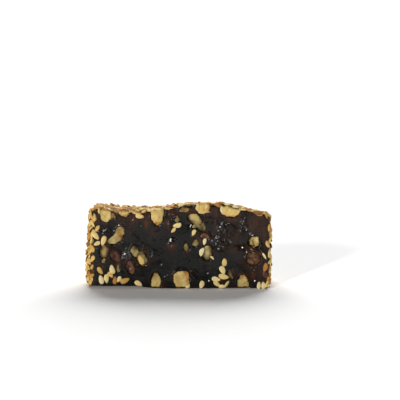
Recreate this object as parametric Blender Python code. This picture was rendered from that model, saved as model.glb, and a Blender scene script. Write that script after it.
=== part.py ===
"""One slice of walnut soft candy: dark jujube and malt candy, full of chopped walnut, in a coat of sesame.

The slice stands on one of its long coated sides. +X runs along it, +Y from the front cut face to the back one,
and +Z is up. The origin is on the base, midway between the cut faces. Lengths are in metres.
"""

import math
import random
from typing import NamedTuple

import bmesh
import bpy
from mathutils import Matrix, Vector, noise
from mathutils.bvhtree import BVHTree

MM = 0.001
FRONT = -1
BACK = 1

# The bare slice, without its seeds.
LENGTH = 60.6 * MM  # of a cut face, along X
THICKNESS = 20.0 * MM  # between the two cut faces, along Y
HEIGHT = 27.4 * MM  # of the coated top over the base, along the left half of its front edge
FACE_X = 1.2 * MM  # where the middle of a cut face is, because the left end bulges more than the right
EDGE_RADIUS = 1.1 * MM
CROWN = 2.6 * MM  # how much higher the top is at its highest point
CROWN_X = 9.5 * MM
CROWN_LEFT = 16.0 * MM  # how far the crown spreads to its left
CROWN_RIGHT = 13.5 * MM
CORNER_RISE = 1.0 * MM  # how much the top turns up at its front left corner
CORNER_SPREAD = 4.0 * MM
RIGHT_SHOULDER = 1.1 * MM  # how far the top falls away at the right end
BACK_SLOPE = 2.3 * MM  # how much lower the back of the top is, right of the middle
SLOPE_START = -28.0 * MM  # the places along the slice between which that slope sets in
SLOPE_END = 8.0 * MM
LEFT_BULGE = 4.2 * MM  # the soft ends stand out past the cut faces
LEFT_FLARE = 0.9 * MM  # how much further the left end's top stands out than its foot
RIGHT_BULGE = 0.9 * MM
BULGE_START = 8  # a power: the higher, the closer to the end the bulge begins
FOOT_LIFT = 1.2 * MM  # how far the foot of the front cut face is off the floor, at its left
LIFT_START = -8.4 * MM  # the places along the slice between which that lift sets in
LIFT_END = -20.7 * MM
LIFT_DEPTH = 6.0 * MM  # how far behind the front cut face it ends
FACE_WAVE = 0.3 * MM  # left by the knife
FACE_WAVE_LENGTH = 9.0 * MM
COAT_LUMP = 0.3 * MM  # pressed into the coated sides
COAT_LUMP_LENGTH = 1.1 * MM
FACES = (16, 6, 8)  # of the bare slice's grid along X, Y and Z
EDGE_CROWDING = 0.45  # how much closer together the grid's rows are near the edges

# Sesame. A seed is a flattened drop.
SEED_SIZE = (3.1 * MM, 1.9 * MM, 1.05 * MM)
SEED_VARIATION = 0.1
SEED_SIDES = 5
SEED_RINGS = 3
SEED_POINTED = 0.3  # how much narrower than its middle a seed is at its pointed end
SEED_RISE = 0.18 * MM  # of a seed's middle over the candy
SEED_LEAN = 0.2  # radians
COAT_SPACING = 4.0 * MM  # between the seeds of the top and the ends
STRAY_SPACING = 5.4 * MM  # between the places on the back cut face that may have a seed
STRAYS_INSIDE = 0.15  # the share of those places with a seed, in the middle of the face
STRAYS_AT_EDGE = 0.75  # and at its edge
ROW_PITCH = math.sqrt(3) / 2  # between staggered rows, as a share of the spacing
SCATTER = 0.22  # how far a seed is off its regular place, as a share of the spacing
EDGE_MARGIN = 0.8 * MM
FLOOR_GAP = 0.15 * MM
RANDOM_SEED = 14

# Walnut. A kernel piece doesn't quite touch the candy round it.
KERNEL_GAP = 0.3 * MM
KERNEL_SINK = 0.32  # how far a piece's middle is behind the cut face, as a share of half its depth
LOBE_DEPTH = 0.16
LOBES = 1.7  # about how many lobes a piece has across it
CURL_CENTRE = 0.35  # keeps a curled piece centred

SMOOTH_ANGLE = math.radians(40)
CANDY_COLOUR = (0.018, 0.012, 0.010)
CANDY_ROUGHNESS = 0.3
WALNUT_COLOUR = (0.60, 0.44, 0.20)
WALNUT_ROUGHNESS = 0.55


class Kernel(NamedTuple):
    """A piece of walnut that a cut face shows, as seen by someone who looks at that face. Lengths are in
    millimetres, x from the face's middle and z over the base."""

    x: float
    z: float
    width: float
    height: float
    turn: float = 0.0  # degrees
    narrows: float = 0.0  # towards its upper end, as a share of its width
    curl: float = 0.0  # of both its ends to the right, as a share of half its width
    square: float = 2.6  # 2 is an ellipsoid, and a higher power is nearer to a box


class Stray(NamedTuple):
    """A seed that the knife carried onto the front cut face, in the same terms."""

    x: float
    z: float
    turn: float


FRONT_KERNELS = {
    "corner": Kernel(-27.0, 26.1, 4.0, 4.4, narrows=-0.1, square=3.0),
    "sliver": Kernel(-20.6, 27.3, 4.2, 3.4, turn=8, square=2.4),
    "wedge": Kernel(-8.8, 26.2, 4.9, 7.6, narrows=-0.35, square=3.2),
    "nugget": Kernel(7.3, 28.9, 5.6, 4.2, turn=-12, curl=0.2),
    "large": Kernel(17.1, 28.5, 8.4, 5.6, turn=-5, square=2.8),
    "crescent": Kernel(4.8, 24.0, 3.7, 7.6, turn=-42, curl=-0.45),
    "boomerang": Kernel(-23.2, 18.5, 3.5, 7.7, turn=46, narrows=0.1, curl=-0.75),
    "dim": Kernel(-27.6, 13.4, 3.5, 4.9, turn=12),
    "ring": Kernel(-14.4, 10.9, 4.2, 5.3, turn=-20),
    "skin": Kernel(-18.6, 8.1, 3.0, 4.7, turn=6, square=2.2),
    "foot_left": Kernel(-9.5, 2.6, 3.9, 6.4, narrows=0.1, square=2.8),
    "foot_square": Kernel(-0.2, 2.8, 5.7, 7.0, narrows=-0.12, square=4.0),
    "foot_right": Kernel(21.3, 2.0, 4.3, 6.2, narrows=0.2, square=2.8),
    "crumb": Kernel(25.1, 16.8, 3.9, 4.2),
    "filmed": Kernel(25.0, 10.9, 5.4, 5.2, turn=30, square=2.2),
    "olive": Kernel(8.7, 12.8, 4.0, 5.6, turn=4, square=2.8),
}
BACK_KERNELS = {
    "shoulder": Kernel(-24.0, 23.4, 7.0, 5.6, turn=-14, curl=0.3, square=2.8),
    "long_curl": Kernel(-9.5, 19.0, 4.2, 11.0, turn=62, narrows=0.1, curl=-0.5),
    "top_wide": Kernel(6.5, 26.2, 8.6, 4.0, turn=3, square=2.8),
    "half_moon": Kernel(19.5, 20.5, 4.6, 8.8, turn=-34, curl=0.6),
    "block": Kernel(-24.5, 11.5, 5.8, 6.4, turn=20, square=3.4),
    "centre": Kernel(-0.5, 10.5, 6.6, 5.2, turn=-8, curl=0.2, square=3.0),
    "foot_wedge": Kernel(-13.0, 3.4, 6.8, 6.4, narrows=0.25, square=3.2),
    "foot_small": Kernel(10.5, 2.2, 4.4, 5.4, narrows=0.1, square=2.8),
    "chip": Kernel(17.0, 9.6, 4.6, 4.2, turn=40, square=2.4),
    "edge": Kernel(27.0, 9.4, 4.6, 7.0, turn=-6, curl=-0.2, square=3.0),
}
STRAYS = (
    Stray(-29.9, 22.0, 62),
    Stray(-29.6, 18.8, 118),
    Stray(-27.7, 17.2, 70),
    Stray(-15.0, 25.6, 10),
    Stray(-1.9, 22.6, 20),
    Stray(-4.0, 20.4, -30),
    Stray(-28.9, 7.0, 120),
    Stray(-24.8, 7.4, 115),
    Stray(-28.7, 3.7, 100),
    Stray(-25.3, 4.6, 135),
    Stray(-20.1, 3.4, 20),
    Stray(-15.5, 2.3, -30),
    Stray(4.6, 14.2, 80),
    Stray(7.0, 18.0, 75),
    Stray(12.8, 10.3, -45),
    Stray(14.8, 9.8, 90),
    Stray(14.2, 6.7, 105),
    Stray(14.5, 4.2, -10),
    Stray(11.9, 3.2, 5),
    Stray(13.7, 1.8, 0),
    Stray(28.8, 12.8, 115),
    Stray(29.2, 7.3, 75),
    Stray(27.2, 1.8, 90),
)


def new_material(name, colour, roughness):
    """A Principled material of one colour."""
    material = bpy.data.materials.new(name)
    material.use_nodes = True
    shader = material.node_tree.nodes["Principled BSDF"]
    shader.inputs["Base Color"].default_value = (*colour, 1.0)
    shader.inputs["Roughness"].default_value = roughness
    shader.inputs["Metallic"].default_value = 0.0
    return material


def new_collection(name):
    """An empty collection in the scene."""
    collection = bpy.data.collections.new(name)
    bpy.context.scene.collection.children.link(collection)
    return collection


def new_object(name, bm, collection):
    """An object made from the bmesh, which is freed."""
    bmesh.ops.recalc_face_normals(bm, faces=bm.faces)
    mesh = bpy.data.meshes.new(name)
    bm.to_mesh(mesh)
    bm.free()
    made = bpy.data.objects.new(name, mesh)
    collection.objects.link(made)
    return made


# The bare slice


def ease(start, end, value):
    """From 0 where the value is at its start to 1 where it is at its end."""
    share = min(1.0, max(0.0, (value - start) / (end - start)))
    return share * share * (3.0 - 2.0 * share)


def top_height(x, y):
    """How high the coated top is at a place on the slice."""
    spread = CROWN_LEFT if x < CROWN_X else CROWN_RIGHT
    crown = CROWN * math.exp(-(abs((x - CROWN_X) / spread) ** 3))
    behind = 0.5 + y / THICKNESS
    corner = CORNER_RISE * (1.0 - behind) * math.exp(-(((x + LENGTH / 2) / CORNER_SPREAD) ** 2))
    shoulder = RIGHT_SHOULDER * max(0.0, 2.0 * x / LENGTH) ** 6
    slope = BACK_SLOPE * behind * min(1.0, max(0.0, (x - SLOPE_START) / (SLOPE_END - SLOPE_START)))
    return HEIGHT + crown + corner - shoulder - slope


def foot_height(x, y):
    """How high the underside is."""
    return FOOT_LIFT * ease(LIFT_START, LIFT_END, x) * ease(LIFT_DEPTH - THICKNESS / 2, -THICKNESS / 2, y)


def end_bulge(x_share, y_share, z_share):
    """How far along X a place is moved by the bulge of the end that it is near. Shares run from -1 to 1."""
    across = math.sqrt(max(0.0, 1.0 - y_share**2))
    near_end = abs(x_share) ** BULGE_START
    if x_share < 0:
        # The left end bulges most below its middle, and still does at its foot.
        upwards = 1.0 - ((z_share + 0.5) / 1.9) ** 2
        return -near_end * (LEFT_BULGE * across * upwards + LEFT_FLARE * max(0.0, z_share) ** 2)
    return RIGHT_BULGE * near_end * across * (1.0 - 0.5 * z_share**2)


def rounded(place, half):
    """A point of a box's surface, moved in so that the box's edges are round."""
    inner = Vector([max(EDGE_RADIUS - h, min(h - EDGE_RADIUS, c)) for c, h in zip(place, half)])
    out = place - inner
    return inner + out.normalized() * EDGE_RADIUS if out.length > 0 else place


def slice_point(cube_point):
    """Where a point of the cube from -1 to 1 lies on the bare slice."""
    half = Vector((LENGTH, THICKNESS, HEIGHT)) / 2
    spread = [c + EDGE_CROWDING * (math.sin(c * math.pi / 2) - c) for c in cube_point]
    x, y, z = rounded(Vector([c * h for c, h in zip(spread, half)]), half)
    x_share, y_share, z_share = x / half.x, y / half.y, z / half.z
    x += end_bulge(x_share, y_share, z_share)
    foot = foot_height(x, y)
    z = foot + (z_share + 1.0) / 2.0 * (top_height(x, y) - foot)
    y += FACE_WAVE * abs(y_share) ** 6 * noise.noise(Vector((x, 40.0 * y, z)) / FACE_WAVE_LENGTH)
    lump = COAT_LUMP * (1.0 - y_share**2) * noise.noise(Vector((x, y, z)) / COAT_LUMP_LENGTH)
    x += lump * math.copysign(abs(x_share) ** 20, x_share)
    z += lump * max(0.0, z_share) ** 20
    return Vector((x + FACE_X, y, z))


def edges_along(bm, axis):
    """The edges of a grid of cuboid cells that run along one axis."""
    return [e for e in bm.edges if round((e.verts[0].co - e.verts[1].co)[axis], 3) != 0]


def bare_slice(collection):
    """The slice without seeds or pockets, as one closed grid."""
    bm = bmesh.new()
    bmesh.ops.create_cube(bm, size=2.0)
    for axis, faces in enumerate(FACES):
        bmesh.ops.subdivide_edges(bm, edges=edges_along(bm, axis), cuts=faces - 1, use_grid_fill=True)
    for vert in bm.verts:
        vert.co = slice_point(vert.co)
    return new_object("candy", bm, collection)


# Walnut


def add_kernel(name, piece, side, skin, collection):
    """A lobed lump of walnut across a cut face, out to its surface and the thickness of a skin over it."""
    half = Vector((piece.width, (piece.width + piece.height) / 2, piece.height)) * MM / 2
    own_lobes = Vector((piece.x, piece.z, side))
    bm = bmesh.new()
    bmesh.ops.create_icosphere(bm, subdivisions=2, radius=1.0)
    for vert in bm.verts:
        way = vert.co.normalized()
        reach = sum(abs(c) ** piece.square for c in way) ** (-1.0 / piece.square)
        x, y, z = way * reach * (1.0 + LOBE_DEPTH * noise.noise(way * LOBES + own_lobes))
        x = x * (1.0 - piece.narrows * z) + piece.curl * (z * z - CURL_CENTRE)
        vert.co = Vector((x * half.x, y * half.y, z * half.z))
    bm.normal_update()
    normals = [vert.normal.copy() for vert in bm.verts]
    for vert, normal in zip(bm.verts, normals):
        vert.co += normal * skin
    depth = side * (THICKNESS / 2 - KERNEL_SINK * half.y)
    place = Matrix.Translation((FACE_X - side * piece.x * MM, depth, piece.z * MM))
    turn = Matrix.Rotation(math.radians(-side * piece.turn), 4, "Y")
    bmesh.ops.transform(bm, matrix=place @ turn, verts=bm.verts)
    return new_object(name, bm, collection)


def add_kernels(kernels, side, face, part, pockets):
    """The pieces of one cut face, and in another collection the pockets that they sit in."""
    pieces = []
    for name, piece in kernels.items():
        pieces.append(add_kernel(f"walnut_{face}_{name}", piece, side, 0.0, part))
        add_kernel(f"pocket_{face}_{name}", piece, side, KERNEL_GAP, pockets)
    return pieces


# Sesame


def seed_mesh():
    """A seed of length, width and thickness 1, pointed at its +X end."""
    bm = bmesh.new()
    bmesh.ops.create_uvsphere(bm, u_segments=SEED_SIDES, v_segments=SEED_RINGS, radius=0.5)
    for vert in bm.verts:
        x, y, z = vert.co
        swell = 1.0 + SEED_POINTED * (0.4 - 2.0 * z)
        vert.co = Vector((z, x * swell, y * swell))
    mesh = bpy.data.meshes.new("seed")
    bm.to_mesh(mesh)
    bm.free()
    return mesh


def lay_seed(mesh, place, normal, turn, dice, collection):
    """A seed pressed into the surface at a place. turn is in radians, about the surface's normal."""
    size = [full * (1.0 + SEED_VARIATION * dice.uniform(-1, 1)) for full in SEED_SIZE]
    middle = Matrix.Translation(place + normal * SEED_RISE)
    upright = normal.to_track_quat("Z", "Y").to_matrix().to_4x4()
    turned = Matrix.Rotation(turn, 4, "Z") @ Matrix.Rotation(SEED_LEAN * dice.uniform(-1, 1), 4, "Y")
    seed = bpy.data.objects.new("seed", mesh)
    seed.matrix_world = middle @ upright @ turned @ Matrix.Diagonal((*size, 1.0))
    collection.objects.link(seed)


def scattered(width, height, spacing, dice):
    """Places in loose staggered rows over a rectangle centred on zero."""
    rows = round(height / (spacing * ROW_PITCH))
    columns = round(width / spacing)
    for row in range(rows):
        stagger = 0.25 if row % 2 else 0.75
        for column in range(columns):
            across = width * ((column + stagger) / columns - 0.5)
            up = height * ((row + 0.5) / rows - 0.5)
            off = spacing * SCATTER
            yield across + off * dice.uniform(-1, 1), up + off * dice.uniform(-1, 1)


def seed_falls(dice):
    """Each seed's start, the way it falls from there onto the slice, and its turn in radians."""
    far = LENGTH
    length, depth, height = (size - 2 * EDGE_MARGIN for size in (LENGTH, THICKNESS, HEIGHT))
    for x, y in scattered(LENGTH + LEFT_BULGE, depth, COAT_SPACING, dice):
        yield Vector((x, y, far)), Vector((0, 0, -1)), dice.uniform(0, math.tau)
    for end in (-1, 1):
        for y, z in scattered(depth, height, COAT_SPACING, dice):
            yield Vector((end * far, y, HEIGHT / 2 + z)), Vector((-end, 0, 0)), dice.uniform(0, math.tau)
    for x, z, turn in STRAYS:
        yield Vector((FACE_X + x * MM, FRONT * far, z * MM)), Vector((0, -FRONT, 0)), math.radians(turn)
    for x, z in scattered(length, height, STRAY_SPACING, dice):
        to_edge = max(abs(2 * x / LENGTH), abs(2 * z / HEIGHT)) ** 4
        if dice.random() < STRAYS_INSIDE + (STRAYS_AT_EDGE - STRAYS_INSIDE) * to_edge:
            yield Vector((x, BACK * far, HEIGHT / 2 + z)), Vector((0, -BACK, 0)), dice.uniform(0, math.tau)


def search_tree(things):
    """One tree of the faces of several objects, none of them moved or turned."""
    corners = []
    faces = []
    for thing in things:
        first = len(corners)
        corners += [v.co.copy() for v in thing.data.vertices]
        faces += [[first + i for i in face.vertices] for face in thing.data.polygons]
    return BVHTree.FromPolygons(corners, faces)


def add_seeds(candy, kernels, collection):
    """Seeds on the top, the ends and the cut faces, clear of the walnut and of what the slice stands on."""
    dice = random.Random(RANDOM_SEED)
    surface = search_tree([candy])
    walnut = search_tree(kernels)
    mesh = seed_mesh()
    reach = SEED_SIZE[0] / 2
    for start, way, turn in seed_falls(dice):
        place, normal, _, _ = surface.ray_cast(start, way)
        if place is None or place.z < reach + FLOOR_GAP:
            continue
        if walnut.find_nearest(place, reach + KERNEL_GAP)[0] is None:
            lay_seed(mesh, place, normal, turn, dice, collection)


# Booleans


def apply_boolean(target, operation, **operand):
    """Applies one Boolean with an object or a collection to the target."""
    modifier = target.modifiers.new(operation, "BOOLEAN")
    modifier.operation = operation
    modifier.solver = "EXACT"
    for setting, value in operand.items():
        setattr(modifier, setting, value)
    bpy.context.view_layer.update()
    evaluated = target.evaluated_get(bpy.context.evaluated_depsgraph_get())
    mesh = bpy.data.meshes.new_from_object(evaluated)
    target.modifiers.remove(modifier)
    target.data = mesh


def linked_shells(bm):
    """The bmesh's faces, as a list for each shell that hangs together, the largest first."""
    left = set(bm.faces)
    shells = []
    while left:
        edge = [left.pop()]
        shell = []
        while edge:
            face = edge.pop()
            shell.append(face)
            near = {f for e in face.edges for f in e.link_faces} & left
            left -= near
            edge += near
        shells.append(shell)
    return sorted(shells, key=len, reverse=True)


def keep_outer_shell(thing):
    """Drops loose scraps and fills sealed hollows."""
    bm = bmesh.new()
    bm.from_mesh(thing.data)
    bmesh.ops.triangulate(bm, faces=bm.faces)
    bmesh.ops.remove_doubles(bm, verts=bm.verts, dist=0.001 * MM)
    for shell in linked_shells(bm)[1:]:
        bmesh.ops.delete(bm, geom=shell, context="FACES")
    bm.to_mesh(thing.data)
    bm.free()


def remove_collection(collection):
    """Removes a collection and its objects."""
    for thing in list(collection.objects):
        bpy.data.objects.remove(thing)
    bpy.data.collections.remove(collection)


def dress(thing, material):
    """Gives an object one material, and smooth faces between its sharp edges."""
    thing.data.materials.clear()
    thing.data.materials.append(material)
    thing.data.shade_smooth()
    thing.data.set_sharp_from_angle(angle=SMOOTH_ANGLE)


def main():
    """Builds the slice."""
    for thing in list(bpy.data.objects):
        bpy.data.objects.remove(thing)
    part = new_collection("walnut_soft_candy")
    pockets = new_collection("pockets")
    seeds = new_collection("seeds")

    candy = bare_slice(part)
    kernels = add_kernels(FRONT_KERNELS, FRONT, "front", part, pockets)
    kernels += add_kernels(BACK_KERNELS, BACK, "back", part, pockets)
    add_seeds(candy, kernels, seeds)

    walnut = new_material("walnut", WALNUT_COLOUR, WALNUT_ROUGHNESS)
    for piece in kernels:
        apply_boolean(piece, "INTERSECT", object=candy)
        keep_outer_shell(piece)
        dress(piece, walnut)

    apply_boolean(candy, "UNION", operand_type="COLLECTION", collection=seeds)
    apply_boolean(candy, "DIFFERENCE", operand_type="COLLECTION", collection=pockets)
    remove_collection(seeds)
    remove_collection(pockets)
    keep_outer_shell(candy)
    dress(candy, new_material("candy", CANDY_COLOUR, CANDY_ROUGHNESS))


main()
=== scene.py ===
"""The looks of one slice of walnut soft candy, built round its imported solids.

Lengths are in metres unless a name or comment says millimetres. +X runs along the slice, -Y is the
front, and +Z is up. Each piece of walnut replaces its own solid, and the candy replaces the solid that
the seeds are fused to.
"""

import math
import random
from typing import NamedTuple

import bmesh
import bpy
import numpy as np
from mathutils import Matrix, Vector, noise
from mathutils.bvhtree import BVHTree
from mathutils.kdtree import KDTree

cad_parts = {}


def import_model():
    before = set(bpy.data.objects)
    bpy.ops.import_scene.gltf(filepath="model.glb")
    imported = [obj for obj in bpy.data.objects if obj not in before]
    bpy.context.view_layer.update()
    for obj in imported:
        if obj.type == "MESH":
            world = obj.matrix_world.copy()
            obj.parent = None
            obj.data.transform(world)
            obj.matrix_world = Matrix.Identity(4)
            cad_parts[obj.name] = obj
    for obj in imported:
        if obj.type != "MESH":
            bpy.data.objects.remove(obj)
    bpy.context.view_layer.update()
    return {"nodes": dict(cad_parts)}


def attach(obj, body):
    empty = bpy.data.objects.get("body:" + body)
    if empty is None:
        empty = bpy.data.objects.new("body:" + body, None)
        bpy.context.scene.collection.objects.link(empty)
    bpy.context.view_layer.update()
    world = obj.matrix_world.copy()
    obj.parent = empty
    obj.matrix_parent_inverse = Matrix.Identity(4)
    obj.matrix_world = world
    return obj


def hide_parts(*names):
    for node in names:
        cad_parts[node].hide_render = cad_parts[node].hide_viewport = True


MM = 0.001
FRONT = -1.0
BACK = 1.0

# The bare slice, as in the part's source.
LENGTH = 60.6 * MM
THICKNESS = 20.0 * MM
HEIGHT = 27.4 * MM
FACE_X = 1.2 * MM
CROWN = 2.6 * MM
CROWN_X = 9.5 * MM
CROWN_LEFT = 16.0 * MM
CROWN_RIGHT = 13.5 * MM
CORNER_RISE = 1.0 * MM
CORNER_SPREAD = 4.0 * MM
RIGHT_SHOULDER = 1.1 * MM
BACK_SLOPE = 2.3 * MM
SLOPE_START = -28.0 * MM
SLOPE_END = 8.0 * MM
LEFT_BULGE = 4.2 * MM
LEFT_FLARE = 0.9 * MM
RIGHT_BULGE = 0.9 * MM
BULGE_START = 8
FOOT_LIFT = 1.2 * MM
LIFT_START = -8.4 * MM
LIFT_END = -20.7 * MM
LIFT_DEPTH = 6.0 * MM
FACE_WAVE = 0.3 * MM
FACE_WAVE_LENGTH = 9.0 * MM
EDGE_CROWDING = 0.45
EDGE_RADIUS = 0.8 * MM

# The candy's surface. The stretches draw its noise out along Z.
FINE_FACES = (270, 30, 118)  # along X, Y and Z
SMOOTH_FACES = (64, 22, 30)  # of the form without its relief, which the seeds are laid on
COAT_SINK = 0.3 * MM  # how far the candy is behind the solid where seeds cover it
CANDY_CLEARANCE = 0.12 * MM  # its least height over the floor
STRETCH = (1.0, 1.0, 0.7)
LUMP_DEPTH = 0.26 * MM
LUMP_SIZE = 4.2 * MM
SMALL_LUMP_DEPTH = 0.3 * LUMP_DEPTH
SMALL_LUMP_SIZE = 0.4 * LUMP_SIZE
STREAK_DEPTH = 0.07 * MM
STREAK_SIZE = 1.2 * MM
STREAK_STRETCH = (1.0, 1.0, 0.12)
WRINKLE_DEPTH = 0.16 * MM
WRINKLE_SIZE = 1.5 * MM
FINE_WRINKLE_DEPTH = 0.5 * WRINKLE_DEPTH
FINE_WRINKLE_SIZE = 0.55 * WRINKLE_SIZE
PLAIN_WRINKLES = 0.4  # how wrinkled the candy is away from its crinkles
PLAIN_WRINKLES_SIZE = 8.0 * MM
GRAIN_DEPTH = 0.035 * MM
GRAIN_SIZE = 0.6 * MM
COAT_LUMP_DEPTH = 0.3 * MM
COAT_LUMP_SIZE = 2.3 * MM
PITS = 70
PIT_RADIUS = 0.5 * MM
PIT_DEPTH = 0.22 * MM
PLAIN_BROWN = 0.2  # how brown the candy is away from its smears
PLAIN_BROWN_SIZE = 6.0 * MM
PLAIN_BROWN_STRETCH = (1.0, 1.0, 0.6)
SMEAR_GRAIN_SIZE = 1.6 * MM
SMEAR_STRETCH = (1.0, 1.0, 0.5)
UNDER_WALNUT = 0.6 * MM  # how far the candy draws back behind the walnut
WALNUT_COVER = 1.2 * MM  # how far behind a cut face walnut still covers the candy
WALNUT_REACH = 3.0 * MM  # the furthest from walnut that counts
MENISCUS = 0.16 * MM
MENISCUS_REACH = 0.55 * MM
HALO = 0.8  # how brown the candy is beside the walnut
HALO_REACH = 0.9 * MM
HALO_SIZE = 3.0 * MM
BACK_FLIP = 29.0  # millimetres: the front's smears are turned half round for the back, to this less z

# The walnut's surface.
VOXEL = 0.17 * MM
SMOOTHINGS = 16
WALNUT_CLEARANCE = 0.02 * MM
WARP_DEPTH = 0.36 * MM
WARP_SIZE = 2.2 * MM
FINE_WARP = 0.65
FINE_WARP_SIZE = 1.0 * MM
LOBE_DEPTH = 0.1  # millimetres, like the next two
GRIT_DEPTH = 0.045
FOLD_DEPTH = 0.16
LOBE_SIZE = 1.2 * MM
GRIT_SIZE = 0.5 * MM
FOLD_SIZE = 3.6 * MM
FOLD_STRETCH = (1.0, 0.4, 1.0)
FOLD_SKIN = 0.45  # how brown the walnut's folds are
LIFTED_FILM = 0.3  # how much candy is on the parts of lifted tops that are far behind the front
LIFTED_SKIN = 0.3  # how brown those tops are
BIT_DEPTH = 0.9 * MM
BIT_FRONT = 0.35  # where a bit is cut off in front, as a share of its depth
BIT_SINK = 0.33  # how far its middle is behind the face, as such a share
BACK_BITS = 9
BACK_BIT_GAP = 3.2 * MM

# Sesame.
SEED_LENGTH = 3.1 * MM
SEED_WIDTH = 1.95 * MM
SEED_THICKNESS = 0.95 * MM
SEED_SIDES = 12
SEED_RINGS = 7
SEED_HOLLOW = 0.18  # how much a seed is sunk along the middle of its flat sides
SEED_RISE = 0.16  # millimetres that the middle of a stray is off the surface
SEED_PITCH = 0.14  # radians: how much the coat's seeds tip up, as a spread
STRAY_PITCH = 0.08  # the same for the strays
SIDE_WEIGHTS = {"top": 1.25, "base": 1.1, "left": 0.66, "right": 0.6}
BASE_SEEDS_START = 2.6 * MM  # how far behind the front the seeds of the base start
LIFTED_SEEDS_START = 8.5 * MM  # the same under the lifted foot
RIGHT_BARE = 3.0 * MM  # how far behind the front the right end has few seeds
RIGHT_BARE_SHARE = 0.75  # the share of the seeds that is left out there
RIGHT_THIN_SHARE = 0.35  # the same for the rest of the right end
HOOD_START = -3.4 * MM  # from here to the next, candy covers the top's front edge
HOOD_END = -0.6 * MM
HOOD_DEPTH = 2.2 * MM
WALNUT_BARE = 1.0 * MM  # how far from a cut face the walnut of the top has no seeds on it
WALNUT_GAP = 0.8 * MM  # how far the coat keeps from walnut there
BACK_TRIES = 460
BACK_WALNUT_GAP = 1.0 * MM
DARK_SEEDS = 0.09  # the share of the seeds that candy covers
TOP_PALEST = 0.32  # the least tone of the seeds of the top
SIDE_PALEST = 0.28
DARKEST = 0.85
TOAST_SHARE = 0.7  # the least toasted tone of the seeds at the left of the top
TOAST_START = -20.0 * MM
TOAST_END = -8.0 * MM

RANDOM_SEED = 7


class Smear(NamedTuple):
    """A place of the front cut face where the candy is thin over walnut or jujube, and so browner.
    Lengths are in millimetres, x from the face's middle and z over the base."""

    x: float
    z: float
    width: float
    height: float
    rise: float
    brown: float


class Patch(NamedTuple):
    """A place of the front cut face, in millimetres as above, with more or less of something."""

    x: float
    z: float
    width: float
    height: float
    amount: float


class Look(NamedTuple):
    """How a piece of walnut looks. Ways are in degrees, 0 to the right and 90 up."""

    film: float = 0.1  # how much candy is smeared over it
    edge: float = 0.4  # millimetres from its rim over which that film thickens
    proud: float = 0.25  # millimetres that it stands out of the cut face
    fade: float = 0.0  # how much more film it has towards one side
    fade_way: float = 0.0
    tan: float = 0.0  # how much brown skin it has at one side
    tan_way: float = 0.0
    red: float = 0.0
    rough: float = 1.0
    lift: float = 0.0  # millimetres that its top stands over the coated top's candy
    brown: float = 0.0  # how much brown skin it has all over


class Bit(NamedTuple):
    """A small piece of walnut or jujube of the cut face that has no solid of its own."""

    x: float
    z: float
    width: float
    height: float
    turn: float
    look: Look


class Crumb(NamedTuple):
    """A piece of walnut on the coated top. Lengths are in millimetres, behind is from the front."""

    x: float
    behind: float
    length: float
    depth: float
    height: float
    look: Look


class Seed(NamedTuple):
    """A seed on the front cut face, or at the front edge of the top."""

    x: float
    z: float
    turn: float  # degrees, the way of its pointed end
    tone: float = 0.4  # 0 is ivory and 1 toasted
    size: float = 1.0
    lean: float = 0.0  # degrees out of the face, about the seed's length
    lift: float = 0.0  # millimetres


SMEARS = (
    Smear(-3.8, 15.2, 3.4, 3.6, 0.3, 0.95),
    Smear(-24.2, 12.6, 3.6, 5.0, 0.1, 1.0),
    Smear(-18.0, 25.0, 9.0, 3.4, 0.1, 0.85),
    Smear(-29.6, 25.4, 2.4, 6.0, 0.0, 0.9),
    Smear(-12.4, 24.6, 2.8, 6.4, 0.1, 0.9),
    Smear(-5.2, 23.4, 2.6, 5.4, 0.1, 0.8),
    Smear(-3.4, 27.2, 4.0, 3.0, 0.1, 0.75),
    Smear(3.2, 27.4, 4.4, 3.4, 0.15, 0.9),
    Smear(11.4, 27.6, 3.6, 4.4, 0.1, 0.95),
    Smear(17.0, 24.9, 8.0, 2.4, 0.1, 0.85),
    Smear(26.4, 23.2, 8.4, 8.4, 0.25, 0.8),
    Smear(25.5, 11.0, 9.6, 8.6, 0.3, 0.8),
    Smear(25.6, 5.0, 6.0, 5.4, 0.2, 0.7),
    Smear(29.6, 16.0, 3.0, 12.0, 0.0, 0.8),
    Smear(7.6, 18.8, 3.6, 2.8, 0.2, 0.9),
    Smear(-28.6, 8.6, 3.0, 4.0, 0.0, 0.75),
    Smear(-18.8, 9.4, 4.6, 6.0, 0.15, 0.75),
    Smear(-10.0, 20.4, 3.0, 4.4, 0.0, 0.45),
    Smear(13.6, 2.4, 3.2, 1.8, 0.0, 1.0),
    Smear(17.0, 18.0, 12.0, 13.0, 0.0, 0.3),
    Smear(-27.0, 15.0, 4.0, 8.0, 0.0, 0.7),
    Smear(-19.6, 23.2, 6.0, 3.0, 0.0, 0.6),
)
CRINKLES = (  # where the candy is wrinkled, and how strongly
    Patch(15.6, 20.6, 6.6, 6.0, 2.2), Patch(13.6, 16.2, 6.6, 4.4, 2.4), Patch(21.6, 22.0, 3.0, 5.6, 2.0),
    Patch(-4.0, 24.0, 6.0, 7.0, 1.4), Patch(26.0, 10.0, 9.0, 9.0, 1.5), Patch(-18.6, 11.0, 8.0, 6.0, 1.2),
)
COVERS = (  # candy over parts of the walnut
    Patch(-25.9, 20.9, 5.2, 4.0, 1.0), Patch(8.0, 21.8, 2.6, 2.8, 0.8), Patch(4.6, 22.4, 2.8, 2.4, 0.7),
    Patch(-13.0, 9.0, 2.0, 1.6, 0.5), Patch(-6.6, 24.4, 1.4, 4.0, 0.6), Patch(-19.0, 26.3, 3.0, 1.0, 0.6),
    Patch(11.2, 28.8, 2.0, 5.0, 0.9), Patch(22.0, 17.4, 2.4, 3.4, 0.7), Patch(26.4, 14.6, 3.0, 1.6, 0.8),
    Patch(8.6, 9.6, 3.4, 1.8, 0.7),
)
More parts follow.
